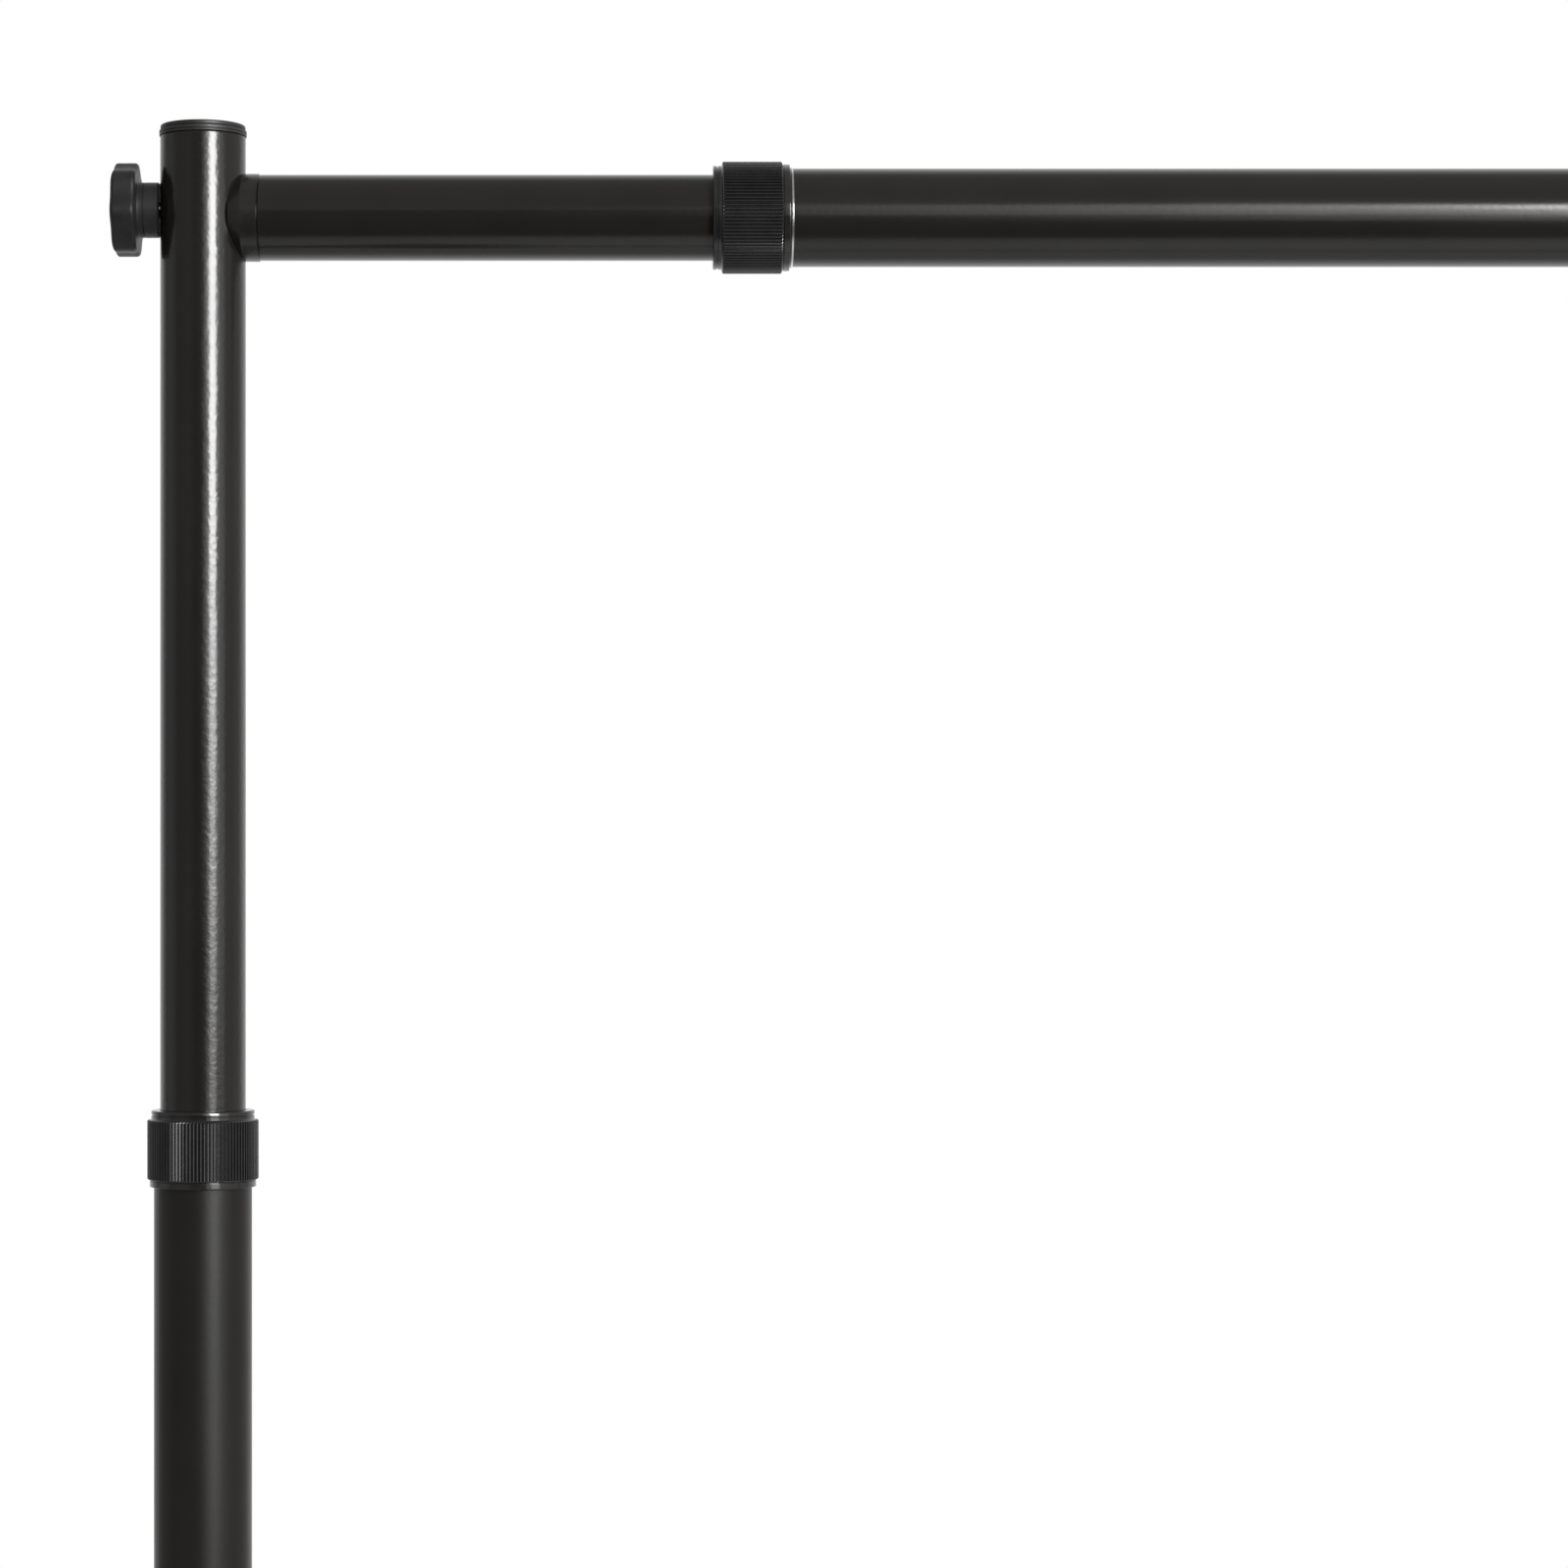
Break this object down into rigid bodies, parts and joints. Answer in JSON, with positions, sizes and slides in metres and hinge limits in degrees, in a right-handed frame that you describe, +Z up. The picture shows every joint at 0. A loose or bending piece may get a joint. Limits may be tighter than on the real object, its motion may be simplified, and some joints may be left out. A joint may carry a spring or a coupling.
{
  "type": "telescopic banner stand",
  "caption": "Free-standing rectangular frame of black telescoping tubes on flat steel feet, with twist-lock collars and star knobs at the corners, for hanging a banner or backdrop.",
  "frame": {"origin": "on the floor, midway between the two feet", "axes": "+X along the crossbars, +Y to the rear, +Z up"},
  "size_m": [1.7542, 0.45, 1.6472],
  "materials": {
    "tube_gloss": "satin-gloss warm black paint",
    "tube_satin": "satin warm black paint",
    "plastic_black": "satin moulded black plastic",
    "plastic_inner": "plain moulded plastic",
    "steel_zinc": "zinc plated",
    "brass": "turned",
    "foot_paint": "textured black paint",
    "rubber": "matt"
  },
  "bodies": {
    "left_base": {"left_foot_plate": "foot_paint", "left_foot_screw": "steel_zinc", "left_spigot": "steel_zinc", "left_front_pad": "rubber", "left_rear_pad": "rubber", "left_lower_tube": "tube_satin", "left_mast_collet": "plastic_black", "bottom_left_end_tube": "tube_gloss", "bottom_left_guide_plug": "plastic_inner", "bottom_left_saddle": "plastic_black", "bottom_left_insert": "brass"},
    "bottom_centre": {"bottom_centre_tube": "tube_satin", "bottom_left_collet": "plastic_black", "bottom_right_collet": "plastic_black"},
    "right_base": {"right_foot_plate": "foot_paint", "right_foot_screw": "steel_zinc", "right_spigot": "steel_zinc", "right_front_pad": "rubber", "right_rear_pad": "rubber", "right_lower_tube": "tube_satin", "right_mast_collet": "plastic_black", "bottom_right_end_tube": "tube_gloss", "bottom_right_guide_plug": "plastic_inner", "bottom_right_saddle": "plastic_black", "bottom_right_insert": "brass"},
    "left_mast": {"left_upper_tube": "tube_gloss", "left_mast_guide_plug": "plastic_inner", "left_cap": "plastic_black", "top_left_end_tube": "tube_gloss", "top_left_guide_plug": "plastic_inner", "top_left_saddle": "plastic_black", "top_left_insert": "brass"},
    "top_centre": {"top_centre_tube": "tube_satin", "top_left_collet": "plastic_black", "top_right_collet": "plastic_black"},
    "right_mast": {"right_upper_tube": "tube_gloss", "right_mast_guide_plug": "plastic_inner", "right_cap": "plastic_black", "top_right_end_tube": "tube_gloss", "top_right_guide_plug": "plastic_inner", "top_right_saddle": "plastic_black", "top_right_insert": "brass"},
    "left_mast_nut": {"left_mast_lock_nut": "plastic_black"},
    "right_mast_nut": {"right_mast_lock_nut": "plastic_black"},
    "top_left_nut": {"top_left_lock_nut": "plastic_black"},
    "top_right_nut": {"top_right_lock_nut": "plastic_black"},
    "bottom_left_nut": {"bottom_left_lock_nut": "plastic_black"},
    "bottom_right_nut": {"bottom_right_lock_nut": "plastic_black"},
    "top_left_star_knob": {"top_left_knob": "plastic_black", "top_left_stud": "steel_zinc"},
    "top_right_star_knob": {"top_right_knob": "plastic_black", "top_right_stud": "steel_zinc"},
    "bottom_left_star_knob": {"bottom_left_knob": "plastic_black", "bottom_left_stud": "steel_zinc"},
    "bottom_right_star_knob": {"bottom_right_knob": "plastic_black", "bottom_right_stud": "steel_zinc"}
  },
  "joints": [
    {"name": "height", "type": "slide", "parent": "left_base", "child": "left_mast", "axis": [0, 0, 1], "range_m": [-0.27, 0.76]},
    {"name": "bottom_left_width", "type": "slide", "parent": "left_base", "child": "bottom_centre", "axis": [1, 0, 0], "range_m": [-0.143, 0.385]},
    {"name": "bottom_right_width", "type": "slide", "parent": "bottom_centre", "child": "right_base", "axis": [1, 0, 0], "range_m": [-0.143, 0.385]},
    {"name": "top_left_width", "type": "slide", "parent": "left_mast", "child": "top_centre", "axis": [1, 0, 0], "range_m": [-0.143, 0.385]},
    {"name": "top_right_width", "type": "slide", "parent": "top_centre", "child": "right_mast", "axis": [1, 0, 0], "range_m": [-0.143, 0.385]},
    {"name": "left_mast_lock", "type": "hinge", "parent": "left_base", "child": "left_mast_nut", "pos_m": [-0.8321, 0, 1.3096], "axis": [0, 0, 1], "range_deg": [0, 120]},
    {"name": "right_mast_lock", "type": "hinge", "parent": "right_base", "child": "right_mast_nut", "pos_m": [0.8321, 0, 1.3096], "axis": [0, 0, 1], "range_deg": [0, 120]},
    {"name": "top_left_lock", "type": "hinge", "parent": "top_centre", "child": "top_left_nut", "pos_m": [-0.65, 0, 1.6171], "axis": [-1, 0, 0], "range_deg": [0, 120]},
    {"name": "top_right_lock", "type": "hinge", "parent": "top_centre", "child": "top_right_nut", "pos_m": [0.65, 0, 1.6171], "axis": [1, 0, 0], "range_deg": [0, 120]},
    {"name": "bottom_left_lock", "type": "hinge", "parent": "bottom_centre", "child": "bottom_left_nut", "pos_m": [-0.65, 0, 0.12], "axis": [-1, 0, 0], "range_deg": [0, 120]},
    {"name": "bottom_right_lock", "type": "hinge", "parent": "bottom_centre", "child": "bottom_right_nut", "pos_m": [0.65, 0, 0.12], "axis": [1, 0, 0], "range_deg": [0, 120]},
    {"name": "top_left_knob_turn", "type": "hinge", "parent": "left_mast", "child": "top_left_star_knob", "pos_m": [-0.8321, 0, 1.6196], "axis": [-1, 0, 0], "continuous": true},
    {"name": "top_right_knob_turn", "type": "hinge", "parent": "right_mast", "child": "top_right_star_knob", "pos_m": [0.8321, 0, 1.6196], "axis": [1, 0, 0], "continuous": true},
    {"name": "bottom_left_knob_turn", "type": "hinge", "parent": "left_base", "child": "bottom_left_star_knob", "pos_m": [-0.8321, 0, 0.1225], "axis": [-1, 0, 0], "continuous": true},
    {"name": "bottom_right_knob_turn", "type": "hinge", "parent": "right_base", "child": "bottom_right_star_knob", "pos_m": [0.8321, 0, 0.1225], "axis": [1, 0, 0], "continuous": true}
  ],
  "couplings": [
    {"joint": "top_left_width", "follows": "bottom_left_width", "ratio": 1},
    {"joint": "top_right_width", "follows": "bottom_right_width", "ratio": 1}
  ]
}
